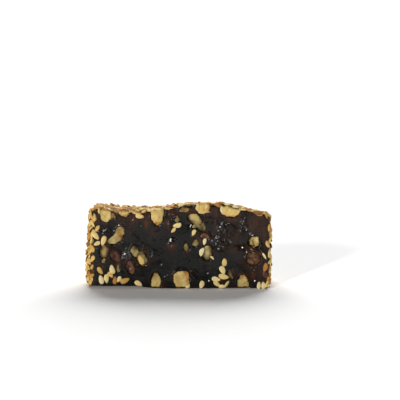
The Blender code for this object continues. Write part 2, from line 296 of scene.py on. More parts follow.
CLEARINGS_AND_HIGHLIGHTS = (  # where there is less candy over the walnut, so it is paler; the first, on the filmed piece, is a painted highlight
    Patch(23.9, 9.9, 2.4, 1.8, 0.2), Patch(25.4, 12.4, 2.4, 1.6, 0.1), Patch(-17.8, 7.4, 2.2, 2.2, 0.14),
    Patch(8.8, 18.9, 1.6, 1.2, 0.2),
)
SKINS = (  # brown skin on parts of the walnut
    Patch(-22.0, 19.2, 2.2, 3.4, 1.0), Patch(-21.0, 25.9, 3.2, 1.2, 0.9), Patch(2.0, 5.4, 1.8, 5.6, 0.9),
    Patch(20.2, 7.4, 2.0, 1.6, 1.0), Patch(6.6, 20.2, 1.8, 1.8, 0.7), Patch(24.6, 14.6, 3.0, 1.4, 0.9),
    Patch(12.9, 26.4, 1.6, 3.6, 0.6), Patch(16.5, 26.0, 5.0, 0.9, 0.6),
)
LOOKS = {  # of the front's pieces, whose names start with walnut_front_
    "corner": Look(0.04, 0.5, 0.35, 0.2, 200, lift=0.3),
    "sliver": Look(0.10, 0.5, 0.3, tan=0.8, tan_way=235, lift=0.3),
    "wedge": Look(0.03, 0.6, 0.35, 0.25, 0, 1.0, 262, lift=0.4),
    "nugget": Look(0.03, 0.5, 0.4, tan=0.7, tan_way=0, lift=0.5),
    "large": Look(0.0, 0.5, 0.45, tan=0.5, tan_way=250, rough=1.8, lift=0.75),
    "crescent": Look(0.25, 1.5, 0.1, 0.4, -25, 0.5, -40),
    "boomerang": Look(0.32, 1.1, 0.15, 0.15, 200),
    "dim": Look(0.34, 1.7, 0.1, 0.2, 110, 0.7, 90, 0.5),
    "ring": Look(0.44, 1.4, 0.15, 0.2, 90),
    "skin": Look(1.0, 1.2, 0.2, red=1.0, rough=1.6),
    "foot_left": Look(0.1, 0.8, 0.25, 0.35, 90, 0.3, 90),
    "foot_square": Look(0.12, 0.5, 0.3, 0.0, 0, 0.8, 25),
    "foot_right": Look(0.24, 0.9, 0.25, 0.1, 180, 0.6, 75),
    "crumb": Look(0.26, 1.0, 0.25, 0.3, 180, 0.3, 300, rough=4.5),
    "filmed": Look(0.93, 1.6, 0.2, red=0.95, rough=2.6),
    "olive": Look(0.42, 1.7, 0.1, 0.15, -90),
}
BACK_LOOKS = (
    Look(0.05, 0.3, 0.3, 0.1, 120, 0.9, 250),
    Look(0.35, 0.9, 0.2, 0.3, 30, 0.5, 200),
    Look(0.0, 0.3, 0.35, 0.0, 0, 0.8, 330),
    Look(0.15, 0.4, 0.3, 0.3, 60, 0.9, 180),
)
BITS = {
    "walnut_bit_green": Bit(-21.9, 20.5, 3.6, 3.2, 20, Look(0.4, 0.7, 0.15, 0.2, 180)),
    "walnut_bit_grey": Bit(-16.9, 13.2, 2.8, 4.0, -18, Look(0.5, 0.8, 0.2, 0.3, 90)),
    "walnut_bit_dull": Bit(1.2, 14.8, 2.7, 2.7, 0, Look(0.72, 1.0, 0.1, 0.2, 0)),
    "walnut_bit_olive": Bit(4.5, 16.3, 2.2, 2.6, 10, Look(0.45, 0.9, 0.1, 0.2, 90)),
    "walnut_bit_top": Bit(0.7, 28.0, 3.6, 2.0, 0, Look(0.5, 0.8, 0.15, 0.2, 180, 0.9, 90, 0.2)),
    "walnut_bit_sliver": Bit(-22.7, 7.4, 1.1, 3.0, -4, Look(0.72, 0.4, 0.1)),
    "walnut_bit_tip": Bit(-27.9, 10.0, 1.3, 1.7, 35, Look(0.68, 0.5, 0.15)),
    "walnut_bit_seedlike": Bit(-1.8, 24.9, 1.5, 2.6, 15, Look(0.6, 0.6, 0.15, 0.2, 90)),
    "walnut_bit_crumb": Bit(4.1, 22.2, 1.3, 1.5, 0, Look(0.35, 0.4, 0.3)),
    "walnut_bit_low": Bit(16.7, 5.3, 1.4, 2.8, -12, Look(0.86, 0.6, 0.1)),
    "walnut_bit_lobe": Bit(6.9, 22.1, 3.0, 3.0, 0, Look(0.45, 1.2, 0.1, 0.2, -60, 0.5, -120)),
    "walnut_bit_pink": Bit(-24.4, 25.8, 2.4, 1.8, 0, Look(0.7, 0.7, 0.2, red=0.6)),
    "jujube_bit_centre": Bit(7.8, 18.7, 3.0, 2.4, 5, Look(0.75, 0.8, 0.25, red=1.0, rough=1.5)),
    "jujube_bit_left": Bit(-23.8, 11.8, 3.4, 5.0, -30, Look(1.1, 1.2, 0.15, red=1.0, rough=1.5)),
    "jujube_bit_low": Bit(-18.0, 6.8, 2.4, 2.6, 0, Look(0.85, 0.8, 0.25, red=1.0, rough=1.5)),
    "jujube_bit_right": Bit(29.0, 5.2, 1.8, 3.2, -20, Look(0.9, 0.7, 0.25, red=1.0, rough=1.5)),
}
CRUMBS = {
    "walnut_crumb_skin": Crumb(-21.0, 2.6, 4.4, 2.6, 1.7, Look(0.1, 0.1, 0.0, rough=1.6, brown=0.95)),
    "walnut_crumb_gold": Crumb(-25.6, 1.9, 3.6, 2.2, 1.5, Look(0.05, 0.1, 0.0, rough=2.0, brown=0.1)),
    "walnut_crumb_corner": Crumb(-28.4, 2.4, 2.4, 2.4, 1.6, Look(0.15, 0.1, 0.0, rough=2.0, brown=0.5)),
    "walnut_crumb_left": Crumb(-23.4, 5.0, 3.0, 2.6, 1.6, Look(0.1, 0.1, 0.0, rough=2.0, brown=0.7)),
    "walnut_crumb_middle": Crumb(1.4, 2.2, 2.8, 1.8, 1.0, Look(0.2, 0.1, 0.0, rough=1.6, brown=0.4)),
}
STRAYS = (
    Seed(-30.0, 21.5, 240, 0.55, 0.9, 30.0), Seed(-30.5, 18.9, 310, 0.3, 1.14),
    Seed(-27.8, 17.2, 254, 0.3, 1.14), Seed(-30.1, 16.2, 205, 0.3, 0.86), Seed(-15.0, 25.9, -14, 0.3, 1.06),
    Seed(-1.9, 22.6, 192, 0.22, 1.04), Seed(-3.2, 20.9, 228, 0.35, 0.72), Seed(3.9, 20.1, 246, 0.3, 0.8),
    Seed(-14.6, 10.5, 115, 0.48, 1.14, 0.0, 0.35), Seed(-29.1, 6.5, 302, 0.6, 0.98),
    Seed(-24.9, 7.0, 104, 0.15, 1.1), Seed(-28.7, 3.4, 102, 0.1, 1.1), Seed(-26.9, 3.7, 272, 0.2, 1.1),
    Seed(-25.5, 5.1, 312, 0.5, 0.95), Seed(-23.9, 3.1, 88, 0.86, 0.95), Seed(-22.4, 3.5, 240, 0.15, 0.85),
    Seed(-20.3, 3.0, 22, 0.68, 1.16), Seed(-15.6, 2.0, -31, 0.25, 1.06), Seed(6.6, 13.2, 255, 0.0, 1.08),
    Seed(7.7, 16.9, 258, 0.05, 0.74), Seed(10.4, 11.1, -44, 0.1, 0.66, 50.0), Seed(14.7, 9.6, 91, 0.36, 1.06),
    Seed(14.1, 6.7, 292, 0.15, 1.1), Seed(14.5, 4.4, -10, 0.3, 1.12, 0.0, 0.3),
    Seed(11.8, 3.5, -12, 0.12, 1.06), Seed(12.1, 1.8, -38, 0.3, 0.9), Seed(14.0, 0.9, 4, 0.2, 0.9, 25.0),
    Seed(15.7, 1.9, 58, 0.25, 0.8, 35.0), Seed(6.7, 1.5, 254, 0.15, 1.05), Seed(2.1, 1.1, 40, 0.2, 0.8),
    Seed(28.7, 11.8, 298, 0.05, 0.86, 60.0),
    Seed(29.1, 7.7, 254, 0.9, 1.14, 20.0), Seed(26.9, 1.3, 86, 0.1, 0.86), Seed(28.5, 1.3, 95, 0.1, 0.9),
    Seed(29.8, 1.8, 80, 0.3, 0.9, 40.0), Seed(-30.7, 25.6, 95, 0.3, 0.9, 50.0),
    Seed(-29.2, 27.9, 104, 0.3, 0.8, 50.0), Seed(13.8, 28.4, 96, 0.15, 0.82, 20.0),
)
EDGE_SEEDS = (  # along the front edge of the top, where z is millimetres behind the front
    Seed(15.9, 0.6, 14, 0.15, 0.8),
    Seed(18.6, 0.7, -16, 0.1, 0.86),
    Seed(21.4, 0.7, -8, 0.2, 0.9),
    Seed(23.9, 0.6, -24, 0.2, 0.8),
    Seed(-11.2, 0.8, 10, 0.2, 0.9),
    Seed(-8.4, 0.7, -12, 0.2, 0.86),
)

# Marks of the front cut face. Places, radii, widths and lengths are in millimetres.
BUBBLE = (-3.4, 17.4)
BUBBLE_RADIUS = 0.6
BUBBLE_RIM = 0.34 * MM
GROOVE = (4.2, 5.2)
GROOVE_ACROSS = (0.76, 0.65)  # the way across it
GROOVE_WIDTH = 0.32
GROOVE_LENGTH = 2.1
GROOVE_DEPTH = 0.3 * MM
FACET_FADE = 1.6  # how far out a facet's edge fades, in radii
FACETS = (  # places and radii of small flat folds that glint
    (-20.3, 12.6, 0.36), (-15.7, 9.0, 0.36), (-7.5, 8.7, 0.38), (-6.4, 4.4, 0.34), (-5.5, 4.9, 0.3),
    (-3.9, 15.4, 0.34), (3.0, 19.0, 0.34), (7.2, 19.5, 0.34), (8.5, 19.9, 0.4), (8.8, 5.6, 0.38),
    (9.2, 2.9, 0.42), (2.9, 6.4, 0.36), (25.4, 2.9, 0.38), (21.9, 22.2, 0.34), (22.3, 21.5, 0.34),
    (23.7, 19.6, 0.44), (24.4, 19.1, 0.4), (20.8, 14.9, 0.3), (13.1, 22.0, 0.42), (13.6, 21.3, 0.32),
    (12.6, 21.0, 0.32), (12.2, 17.2, 0.38), (16.3, 17.2, 0.46), (16.8, 16.6, 0.4), (12.6, 14.4, 0.46),
    (14.0, 15.0, 0.32), (10.6, 19.4, 0.32), (-2.6, 17.4, 0.28), (-4.2, 17.4, 0.34), (-6.3, 27.1, 0.28),
    (-5.5, 23.1, 0.26), (9.6, 27.0, 0.28), (-28.8, 12.4, 0.28), (-14.0, 15.3, 0.24), (15.1, 22.8, 0.28),
)

# Gloss.
MATT = 0.85  # roughness, like the next
FACET_ROUGHNESS = 0.25
FACET_SHINE = 0.6
CANDY_SHINE = 0.24

# The camera and the lights. Azimuths and elevations are in degrees.
KEY_BEARING = (-28.0, 15.0)
BACK_BEARING = (176, 32)
SKY_LIGHT = 0.1
SKY_SEEN = 1.2
FLOOR_RADIUS = 3.0
VIEW_ELEVATION = 6.5
VIEW_AIM = (7.3 * MM, -THICKNESS / 2, 31.6 * MM)
VIEW_WIDTH = 140.0 * MM
LENS = 100.0  # millimetres
SENSOR = 36.0


# Small tools


def norm(vectors):
    """The length of each row."""
    return np.linalg.norm(vectors, axis=1)


def smoothstep(low, high, values):
    """Eases from 0 at low to 1 at high."""
    share = np.clip((values - low) / (high - low), 0.0, 1.0)
    return share * share * (3.0 - 2.0 * share)


def field(points, size, shift=0.0):
    """Noise from about -1 to 1 at each point, with features of a size. Each shift gives another."""
    scaled = points / size + shift
    return np.array([noise.noise(p) for p in scaled.tolist()])


def ridges(points, size, shift=0.0):
    """Noise that is 1 along thin lines and falls away on both sides of them."""
    return 1.0 - 2.0 * np.abs(field(points, size, shift))


def corner_array(mesh):
    """The mesh's vertices, as rows."""
    flat = np.empty(len(mesh.vertices) * 3)
    mesh.vertices.foreach_get("co", flat)
    return flat.reshape(-1, 3)


def normal_array(mesh):
    """The mesh's vertex normals, as rows."""
    flat = np.empty(len(mesh.vertices) * 3)
    mesh.vertex_normals.foreach_get("vector", flat)
    return flat.reshape(-1, 3)


def set_corners(mesh, corners):
    """Moves the mesh's vertices."""
    mesh.vertices.foreach_set("co", corners.ravel())
    mesh.update()


def paint(mesh, name, values):
    """Gives the mesh a float for each vertex, for its material."""
    attribute = mesh.attributes.new(name, "FLOAT", "POINT")
    attribute.data.foreach_set("value", np.asarray(values, dtype=np.float32))


def add_thing(name, data):
    """Puts a mesh, a light or a camera in the scene."""
    thing = bpy.data.objects.new(name, data)
    bpy.context.scene.collection.objects.link(thing)
    return thing


def finished(bm, name):
    """The mesh of what was built, which is then let go."""
    mesh = bpy.data.meshes.new(name)
    bm.to_mesh(mesh)
    bm.free()
    return mesh


def place(name, mesh, material, slot, *nodes):
    """Puts a finished mesh in the scene, on the slice's one body."""
    thing = add_thing(name, mesh)
    mesh.materials.clear()
    mesh.materials.append(material)
    mesh.shade_smooth()
    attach(thing, "root")
    if nodes:
        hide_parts(*nodes)
    return thing


def search_tree(meshes):
    """One tree of the faces of several meshes."""
    corners = []
    faces = []
    for mesh in meshes:
        first = len(corners)
        corners += [v.co.copy() for v in mesh.vertices]
        faces += [[first + i for i in p.vertices] for p in mesh.polygons]
    return BVHTree.FromPolygons(corners, faces)


# The form of the bare slice


def top_height(x, y):
    """How high the coated top is at places on the slice."""
    spread = np.where(x < CROWN_X, CROWN_LEFT, CROWN_RIGHT)
    crown = CROWN * np.exp(-(np.abs((x - CROWN_X) / spread) ** 3))
    behind = 0.5 + y / THICKNESS
    corner = CORNER_RISE * (1.0 - behind) * np.exp(-(((x + LENGTH / 2) / CORNER_SPREAD) ** 2))
    shoulder = RIGHT_SHOULDER * np.maximum(0.0, 2.0 * x / LENGTH) ** 6
    slope = BACK_SLOPE * behind * np.clip((x - SLOPE_START) / (SLOPE_END - SLOPE_START), 0.0, 1.0)
    return HEIGHT + crown + corner - shoulder - slope


def foot_height(x, y):
    """How high the underside is."""
    along = smoothstep(LIFT_START, LIFT_END, x)
    return FOOT_LIFT * along * smoothstep(LIFT_DEPTH - THICKNESS / 2, -THICKNESS / 2, y)


def end_bulge(x_share, y_share, z_share):
    """How far along X places are moved by the bulge of the end that they are near."""
    across = np.sqrt(np.maximum(0.0, 1.0 - y_share**2))
    near_end = np.abs(x_share) ** BULGE_START
    upwards = 1.0 - ((z_share + 0.5) / 1.9) ** 2
    left = -(LEFT_BULGE * across * upwards + LEFT_FLARE * np.maximum(0.0, z_share) ** 2)
    right = RIGHT_BULGE * across * (1.0 - 0.5 * z_share**2)
    return near_end * np.where(x_share < 0, left, right)


def slice_points(cube_points):
    """Where points of the cube from -1 to 1 lie on the bare slice."""
    half = np.array((LENGTH, THICKNESS, HEIGHT)) / 2
    spread = cube_points + EDGE_CROWDING * (np.sin(cube_points * math.pi / 2) - cube_points)
    flat = spread * half
    inner = np.clip(flat, EDGE_RADIUS - half, half - EDGE_RADIUS)
    out = flat - inner
    points = inner + out * (EDGE_RADIUS / norm(out))[:, None]
    x, y, z = points.T
    x_share, y_share, z_share = (points / half).T
    x = x + end_bulge(x_share, y_share, z_share)
    foot = foot_height(x, y)
    z = foot + (z_share + 1.0) / 2.0 * (top_height(x, y) - foot)
    wave = field(np.column_stack((x, 40.0 * y, z)), FACE_WAVE_LENGTH)
    y = y + FACE_WAVE * np.abs(y_share) ** 6 * wave
    return np.column_stack((x + FACE_X, y, z))


def slice_mesh(name, counts):
    """The bare slice as a closed grid."""
    bm = bmesh.new()
    bmesh.ops.create_cube(bm, size=2.0)
    for axis, faces in enumerate(counts):
        along = [e for e in bm.edges if abs((e.verts[0].co - e.verts[1].co)[axis]) > 0.001]
        bmesh.ops.subdivide_edges(bm, edges=along, cuts=faces - 1, use_grid_fill=True)
    mesh = finished(bm, name)
    set_corners(mesh, slice_points(corner_array(mesh)))
    return mesh


# The candy


def face_places(points):
    """Each point in millimetres on the cut faces: x from the face's middle, and z over the base."""
    return (points[:, 0] - FACE_X) / MM, points[:, 2] / MM


def smear_share(x, z, smear):
    """How much of a smear there is at each place, from 0 to 1."""
    reach = ((x - smear.x) / smear.width * 2) ** 2 + ((z - smear.z) / smear.height * 2) ** 2
    return np.exp(-(reach**1.5))


def pit_depths(points, on_cut):
    """Small dimples where bubbles were cut open."""
    dice = random.Random(RANDOM_SEED)
    places = [i for i in dice.sample(range(len(points)), 12 * PITS) if on_cut[i] > 0.9][:PITS]
    tree = KDTree(len(places))
    for number, i in enumerate(places):
        tree.insert(points[i], number)
    tree.balance()
    radii = [PIT_RADIUS * dice.uniform(0.4, 1.2) for _ in places]
    depths = np.zeros(len(points))
    for i, point in enumerate(points.tolist()):
        _, number, distance = tree.find(point)
        share = distance / radii[number]
        if share < 1.0:
            depths[i] = (1.0 - share * share) ** 2 * radii[number] / PIT_RADIUS
    return depths * PIT_DEPTH


def way_to(azimuth, elevation):
    """The way from the slice to a bearing in degrees. Azimuth 0 is in front, and 90 at the right."""
    turn = math.radians(azimuth)
    rise = math.radians(elevation)
    return Vector((math.sin(turn) * math.cos(rise), -math.cos(turn) * math.cos(rise), math.sin(rise)))


def view_place():
    """Where the camera is."""
    distance = VIEW_WIDTH * LENS / SENSOR
    return Vector(VIEW_AIM) + way_to(0.0, VIEW_ELEVATION) * distance


def add_facets(relief, x, z, normals, on_front):
    """The relief with small flat folds on the front, and how much of one each place is. Each is turned
    half-way between the key light and the camera."""
    folded = np.zeros(len(x))
    for middle_x, middle_z, radius in FACETS:
        away = np.hypot(x - middle_x, z - middle_z) + LENGTH / MM * (on_front < 0.5)
        middle = int(np.argmin(away))
        share = 1.0 - smoothstep(radius, FACET_FADE * radius, away)
        place = Vector((FACE_X + middle_x * MM, -THICKNESS / 2, middle_z * MM))
        half_way = (view_place() - place).normalized() + way_to(*KEY_BEARING)
        slope_x = half_way.x / half_way.y - normals[middle, 0] / normals[middle, 1]
        slope_z = half_way.z / half_way.y - normals[middle, 2] / normals[middle, 1]
        facet = relief[middle] + (slope_x * (x - middle_x) + slope_z * (z - middle_z)) * MM
        relief = relief + share * (facet - relief)
        folded = np.maximum(folded, share)
    return relief, folded


def walnut_shares(points, on_cut, tree):
    """For each point of the candy, 1 where walnut covers it, and its distance from the walnut."""
    covered = np.zeros(len(points))
    away = np.full(len(points), LENGTH)
    for i in np.flatnonzero(on_cut > 0.3).tolist():
        x, y, z = points[i].tolist()
        side = math.copysign(1.0, y)
        start = Vector((x, side * THICKNESS, z))
        if tree.ray_cast(start, Vector((0, -side, 0)), THICKNESS / 2 + WALNUT_COVER)[0] is not None:
            covered[i] = 1.0
        nearest = tree.find_nearest(Vector((x, y, z)), WALNUT_REACH)[3]
        if nearest is not None:
            away[i] = nearest
    return covered, away


def wrinkle_shares(points, marked):
    """How strongly the candy is wrinkled at each point."""
    wrinkled = PLAIN_WRINKLES * smoothstep(0.0, 0.5, field(points, PLAIN_WRINKLES_SIZE, 3.7))
    for x, z, on_side in marked:
        for crinkle in CRINKLES:
            wrinkled = np.maximum(wrinkled, crinkle.amount * smear_share(x, z, crinkle) * on_side)
    return wrinkled


def candy_relief(points, wrinkled):
    """How far the lumps, streaks, wrinkles and grain of the cut faces stand out."""
    relief = LUMP_DEPTH * field(points, LUMP_SIZE)
    relief += SMALL_LUMP_DEPTH * field(points * STRETCH, SMALL_LUMP_SIZE, 50.0)
    relief += STREAK_DEPTH * field(points * STREAK_STRETCH, STREAK_SIZE, 31.0)
    relief += WRINKLE_DEPTH * wrinkled * ridges(points * STRETCH, WRINKLE_SIZE, 9.1)
    relief += FINE_WRINKLE_DEPTH * wrinkled * ridges(points, FINE_WRINKLE_SIZE, 14.1)
    relief += GRAIN_DEPTH * field(points, GRAIN_SIZE)
    return relief


def groove_share(x, z):
    """How deep the short groove of the front face is at each place, from 0 to 1."""
    right, up = GROOVE_ACROSS
    across = np.abs((x - GROOVE[0]) * right + (z - GROOVE[1]) * up) / GROOVE_WIDTH
    along = np.abs((x - GROOVE[0]) * up - (z - GROOVE[1]) * right) / GROOVE_LENGTH
    return np.exp(-(across**2) - along**4)


def bubble_share(x, z):
    """The bubble of the front face: 1 on its rim and -1 in its hollow."""
    ring = np.hypot(x - BUBBLE[0], z - BUBBLE[1]) / BUBBLE_RADIUS
    return np.exp(-(((ring - 1.0) / 0.4) ** 2)) - np.exp(-((ring / 0.5) ** 2))


def add_smears(relief, points, marked, away):
    """The relief with the smears' rises, and how brown each point is."""
    brown = PLAIN_BROWN * smoothstep(0.1, 0.6, field(points * PLAIN_BROWN_STRETCH, PLAIN_BROWN_SIZE, 21.0))
    uneven = 0.75 + 0.6 * field(points * SMEAR_STRETCH, SMEAR_GRAIN_SIZE, 40.0)
    for x, z, on_side in marked:
        for smear in SMEARS:
            share = smear_share(x, z, smear) * on_side
            relief = relief + smear.rise * MM * share
            brown = np.maximum(brown, smear.brown * share * uneven)
    halo = smoothstep(-0.1, 0.5, field(points, HALO_SIZE, 60.0))
    brown = np.maximum(brown, HALO * halo * np.exp(-((away / HALO_REACH) ** 2)))
    return relief, brown


def build_candy(material, walnut_tree):
    """The dark candy, with the knife's smears on its cut faces and lumps under its seeds."""
    mesh = slice_mesh("candy_slice", FINE_FACES)
    points = corner_array(mesh)
    normals = normal_array(mesh)
    on_cut = smoothstep(0.55, 0.95, np.abs(normals[:, 1]))
    on_front = on_cut * (normals[:, 1] < 0)
    on_back = on_cut * (normals[:, 1] > 0)
    x, z = face_places(points)
    marked = ((x, z, on_front), (-x, BACK_FLIP - z, on_back))
    covered, away = walnut_shares(points, on_cut, walnut_tree)

    wrinkled = wrinkle_shares(points, marked)
    relief = candy_relief(points, wrinkled)
    relief -= pit_depths(points, on_cut)
    relief -= GROOVE_DEPTH * groove_share(x, z) * on_front
    relief += BUBBLE_RIM * bubble_share(x, z) * on_front
    relief, brown = add_smears(relief, points, marked, away)
    relief += MENISCUS * np.exp(-((away / MENISCUS_REACH) ** 2)) * (1.0 - covered)
    relief, folded = add_facets(relief, x, z, normals, on_front)
    coat = -COAT_SINK + COAT_LUMP_DEPTH * field(points, COAT_LUMP_SIZE, 5.0)
    coat += GRAIN_DEPTH * field(points, GRAIN_SIZE, 2.0)
    depth = on_cut * (relief - covered * UNDER_WALNUT) + (1.0 - on_cut) * coat
    points += normals * depth[:, None]
    points[:, 2] = np.maximum(points[:, 2], CANDY_CLEARANCE)
    set_corners(mesh, points)
    paint(mesh, "brown", np.clip(brown * on_cut, 0.0, 1.0))
    paint(mesh, "coat", 1.0 - on_cut)
    paint(mesh, "crinkle", (0.25 + 0.75 * np.clip(wrinkled, 0.0, 1.0)) * (1.0 - folded))
    paint(mesh, "facet", folded)
    return place("candy_slice", mesh, material, "candy", "candy")


# Walnut


def remeshed(mesh):
    """A copy of a mesh, rebuilt from small even faces."""
    thing = add_thing("remeshed", mesh.copy())
    modifier = thing.modifiers.new("even", "REMESH")
    modifier.mode = "VOXEL"
    modifier.voxel_size = VOXEL
    smooth = thing.modifiers.new("smooth", "SMOOTH")
    smooth.factor = 0.5
    smooth.iterations = SMOOTHINGS
    bpy.context.view_layer.update()
    result = bpy.data.meshes.new_from_object(thing.evaluated_get(bpy.context.evaluated_depsgraph_get()))
    bpy.data.objects.remove(thing)
    return result


def rim_distances(points, rim):
    """How far each point is from the nearest one of a piece's rim."""
    numbers = np.flatnonzero(rim)
    if not len(numbers):
        return np.full(len(points), LENGTH)
    tree = KDTree(len(numbers))
    for i in numbers.tolist():
        tree.insert(points[i], i)
    tree.balance()
    return np.array([tree.find(p)[2] for p in points.tolist()])


def towards(x, z, degrees):
    """How far places are to one side of a piece, from about -1 to 1."""
    way = math.radians(degrees)
    return x * math.cos(way) + z * math.sin(way)


def patch_amounts(points, side, patches):
    """For each patch, how much of it there is at each point. The back has none."""
    if side == BACK:
        return []
    x, z = face_places(points)
    return [patch.amount * smear_share(x, z, patch) for patch in patches]


def carve_walnut(points, normals, on_top, look):
    """Gives the points a piece's lobes and folds, and tells how much of a fold each is."""
    warp = np.column_stack([field(points, WARP_SIZE, shift) for shift in (1.0, 5.0, 9.0)])
    fine = np.column_stack([field(points, FINE_WARP_SIZE, shift) for shift in (2.0, 6.0, 10.0)])
    warp += FINE_WARP * fine
    warp[:, 1] = 0.0
    warp[on_top, 2] = 0.0
    folds = smoothstep(0.86, 0.99, ridges(points * FOLD_STRETCH, FOLD_SIZE, 4.0))
    relief = LOBE_DEPTH * field(points, LOBE_SIZE, 6.0) + GRIT_DEPTH * field(points, GRIT_SIZE)
    relief -= FOLD_DEPTH * folds
    points += WARP_DEPTH * warp + normals * (look.rough * relief * MM)[:, None]
    return folds


def finish_walnut(name, mesh, side, look, material, *nodes):
    """Gives a smooth piece its lobes, folds, skin and smears, and puts it in the scene."""
    points = corner_array(mesh)
    normals = normal_array(mesh)
    behind = side * (np.max(side * points[:, 1]) * side - points[:, 1])
    facing = smoothstep(0.2, 0.8, side * normals[:, 1])
    on_top = normals[:, 2] > 0.6
    rim = rim_distances(points, (behind > 0.5 * MM) & ~on_top)
    low, high = points.min(0), points.max(0)
    middle, half = (low + high) / 2, (high - low) / 2
    x = -side * (points[:, 0] - middle[0]) / half[0]
    z = (points[:, 2] - middle[2]) / half[2]

    folds = carve_walnut(points, normals, on_top, look)
    points[:, 1] += side * look.proud * MM * facing * smoothstep(0.0, 0.7 * MM, rim)
    points[:, 2] += look.lift * MM * smoothstep(0.2, 1.0, z)
    points[:, 2] = np.maximum(points[:, 2], WALNUT_CLEARANCE)
    set_corners(mesh, points)

    uneven = field(points, 1.7 * MM, 13.0)
    patchy = 1.0 + 0.3 * uneven
    matt = on_top * smoothstep(0.2 * MM, 0.8 * MM, behind) * (look.lift > 0)

    film = look.film * (1.0 + 0.7 * (1.0 - 0.8 * look.film) * uneven)
    film += 0.1 * (look.rough - 1.0) * field(points, 0.8 * MM, 17.0)
    film += look.fade * smoothstep(-0.4, 0.9, towards(x, z, look.fade_way) + 0.3 * uneven)
    opened = 0.05 + 0.95 * smoothstep(0.0, look.edge * MM, rim - 0.25 * MM * uneven) ** 2
    film = 1.0 - (1.0 - film) * opened
    for amount in patch_amounts(points, side, COVERS):
        film = np.maximum(film, amount * patchy)
    film = np.maximum(film, (0.97 + 0.1 * uneven) * look.red)
    # Thins the film in patches, which makes the walnut paler there: thinner candy, and on the filmed piece a
    # painted highlight.
    for amount in patch_amounts(points, side, CLEARINGS_AND_HIGHLIGHTS):
        film -= amount
    if look.lift:
        film = np.maximum(film, LIFTED_FILM * smoothstep(1.5 * MM, 2.2 * MM, behind))

    skin = look.tan * smoothstep(0.25, 0.75, towards(x, z, look.tan_way) + 0.35 * uneven)
    skin = np.maximum(skin, look.brown * (1.0 + 0.5 * uneven))
    skin = np.maximum(skin, 0.7 * look.red)
    for amount in patch_amounts(points, side, SKINS):
        skin = np.maximum(skin, amount * patchy)
    skin = np.maximum(skin, LIFTED_SKIN * matt)
    skin = np.maximum(skin, FOLD_SKIN * folds)
    skin = np.maximum(skin, (0.5 + 0.8 * uneven) * (1.0 - smoothstep(0.1 * MM, 0.5 * MM, rim)))

    paint(mesh, "film", np.clip(film, 0.0, 1.0))
    paint(mesh, "skin", np.clip(skin, 0.0, 1.0))
    paint(mesh, "red", look.red * np.clip(0.4 + 0.9 * opened, 0.0, 1.0))
    paint(mesh, "matt", matt)
    return place(name, mesh, material, "walnut", *nodes)


def lump(name, shift):
    """A round lump about a metre in radius, with its points."""
    bm = bmesh.new()
    bmesh.ops.create_icosphere(bm, subdivisions=5, radius=1.0)
    mesh = finished(bm, name)
    points = corner_array(mesh)
    return mesh, points * (1.0 + 0.3 * field(points, 0.9, shift))[:, None]


def build_bit(name, bit, side, material):
    """A small piece in a cut face."""
    mesh, points = lump(name, bit.x + 2.0 * bit.z)
    points *= np.array((bit.width / 2 * MM, BIT_DEPTH, bit.height / 2 * MM))
    turn = Matrix.Rotation(math.radians(-side * bit.turn), 3, "Y")
    points = points @ np.array(turn).T
    out = np.minimum(side * points[:, 1], BIT_FRONT * BIT_DEPTH)
    points[:, 1] = side * (THICKNESS / 2 - BIT_SINK * BIT_DEPTH + out)
    points += (FACE_X - side * bit.x * MM, 0.0, bit.z * MM)
    set_corners(mesh, points)
    return finish_walnut(name, mesh, side, bit.look, material)


def build_crumb(name, crumb, material):
    """A piece of walnut pressed into the coated top."""
    mesh, points = lump(name, crumb.x)
    x, y = crumb.x * MM, crumb.behind * MM - THICKNESS / 2
    points *= np.array((crumb.length, crumb.depth, crumb.height)) / 2 * MM
    points += (x + FACE_X, y, float(top_height(x, y)) + 0.15 * MM)
    set_corners(mesh, points)
    return finish_walnut(name, mesh, FRONT, crumb.look, material)


def build_all_walnut(nodes, material):
    """Every piece of walnut and jujube of both cut faces and of the top."""
    made = [build_crumb(name, crumb, material) for name, crumb in CRUMBS.items()]
    for number, name in enumerate(sorted(nodes)):
        side, look = BACK, BACK_LOOKS[number % len(BACK_LOOKS)]
        if "_front_" in name:
            side, look = FRONT, LOOKS[name.removeprefix("walnut_front_")]
        made.append(finish_walnut(name + "_kernel", remeshed(nodes[name].data), side, look, material, name))
    made += [build_bit(name, bit, FRONT, material) for name, bit in BITS.items()]
    return made + back_bits(search_tree([thing.data for thing in made]), material)


def back_bits(tree, material):
    """Bits here and there in the back cut face, away from the other pieces."""
    dice = random.Random(RANDOM_SEED)
    made = []
    while len(made) < BACK_BITS:
        x, z = dice.uniform(-27, 27), dice.uniform(3, 24)
        size = dice.uniform(1.4, 2.8)
        red = 1.0 if dice.random() < 0.35 else 0.0
        look = Look(dice.uniform(0.4, 0.75), 0.7, 0.2, 0.2, dice.uniform(0, 360), red=red)
        bit = Bit(x, z, size, size * dice.uniform(0.9, 1.5), dice.uniform(0, 180), look)
        middle = Vector((FACE_X - x * MM, THICKNESS / 2, z * MM))
        if tree.find_nearest(middle, BACK_BIT_GAP)[0] is None:
            made.append(build_bit(f"walnut_bit_back_{len(made)}", bit, BACK, material))
    return made


# Sesame


